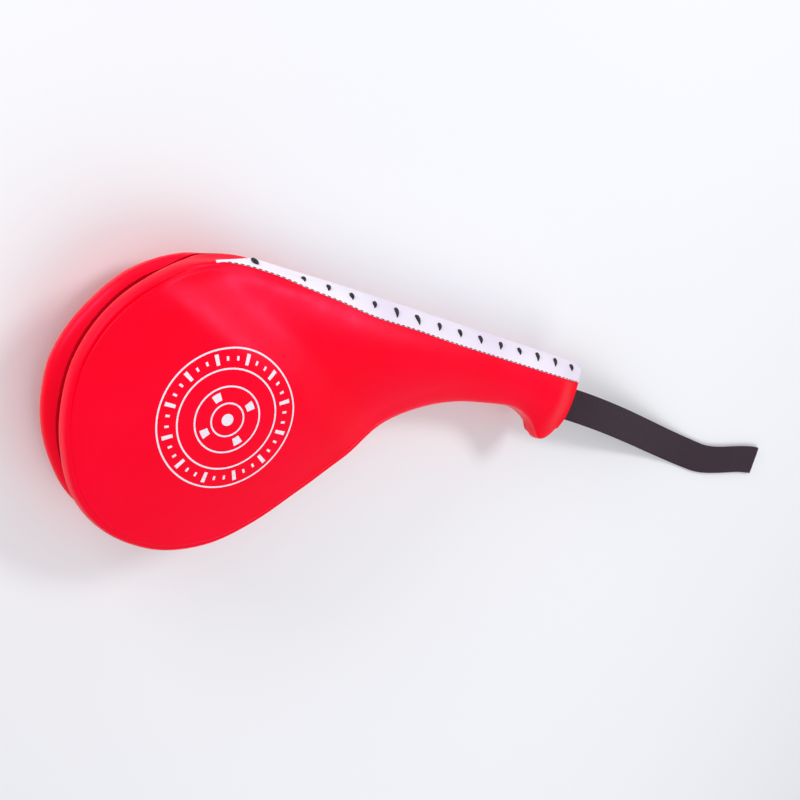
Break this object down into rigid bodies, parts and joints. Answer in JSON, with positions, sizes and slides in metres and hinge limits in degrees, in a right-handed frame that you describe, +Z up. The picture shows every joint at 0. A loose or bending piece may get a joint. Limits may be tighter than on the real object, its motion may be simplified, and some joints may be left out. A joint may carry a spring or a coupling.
{
  "type": "double-leaf kicking paddle",
  "caption": "Round-headed hand-held kicking target with padded leaves that clap together, a laced handle with a finger hook, and a webbing wrist loop.",
  "frame": {"origin": "on the flat of the rear strike face, under the middle of the round head, at the middle of the rest face", "axes": "+X along the handle to the wrist loop, +Y to the straight laced spine, +Z up to the front strike face; the paddle lies on its rear leaf"},
  "size_m": [0.6905, 0.2046, 0.07],
  "materials": {
    "red_leather": "smooth semi-gloss polyurethane imitation leather",
    "white_leather": "smooth polyurethane imitation leather",
    "gap_lining": "thin polyurethane coated cloth",
    "foam": "closed-cell foam",
    "stiffener": "plain sheet",
    "waxed_thread": "thick waxed lacing thread",
    "webbing": "diagonal twill polyester webbing"
  },
  "bodies": {
    "handle": {"grip_core": "foam", "front_grip_cover": "red_leather", "rear_grip_cover": "red_leather", "spine_band": "white_leather", "grip_end_patch": "red_leather", "strap_anchor": "webbing", "lace_knot": "waxed_thread", "lace_stitch_01": "waxed_thread", "lace_stitch_02": "waxed_thread", "lace_stitch_03": "waxed_thread", "lace_stitch_04": "waxed_thread", "lace_stitch_05": "waxed_thread", "lace_stitch_06": "waxed_thread", "lace_stitch_07": "waxed_thread", "lace_stitch_08": "waxed_thread", "lace_stitch_09": "waxed_thread", "lace_stitch_10": "waxed_thread", "lace_stitch_11": "waxed_thread", "lace_stitch_12": "waxed_thread", "lace_stitch_13": "waxed_thread", "lace_stitch_14": "waxed_thread"},
    "front_leaf": {"front_face_panel": "red_leather", "front_side_wall": "red_leather", "front_inner_liner": "gap_lining", "front_stiffener_board": "stiffener", "front_foam_pad": "foam"},
    "rear_leaf": {"rear_face_panel": "red_leather", "rear_side_wall": "red_leather", "rear_inner_liner": "gap_lining", "rear_stiffener_board": "stiffener", "rear_foam_pad": "foam"},
    "strap": {"wrist_strap": "webbing"}
  },
  "joints": [
    {"name": "front_leaf_flex", "type": "hinge", "parent": "handle", "child": "front_leaf", "pos_m": [0.0516, 0.0575, 0.041], "axis": [0.9228, -0.3853, 0], "range_deg": [-8, 1.9], "stiffness_Nm_per_rad": 16},
    {"name": "rear_leaf_flex", "type": "hinge", "parent": "handle", "child": "rear_leaf", "pos_m": [0.0516, 0.0575, 0.029], "axis": [0.9228, -0.3853, 0], "range_deg": [-1.9, 8], "stiffness_Nm_per_rad": 16},
    {"name": "strap_swing", "type": "hinge", "parent": "handle", "child": "strap", "pos_m": [0.305, 0.07, 0.035], "axis": [0, 1, 0], "range_deg": [-80, 40]}
  ]
}
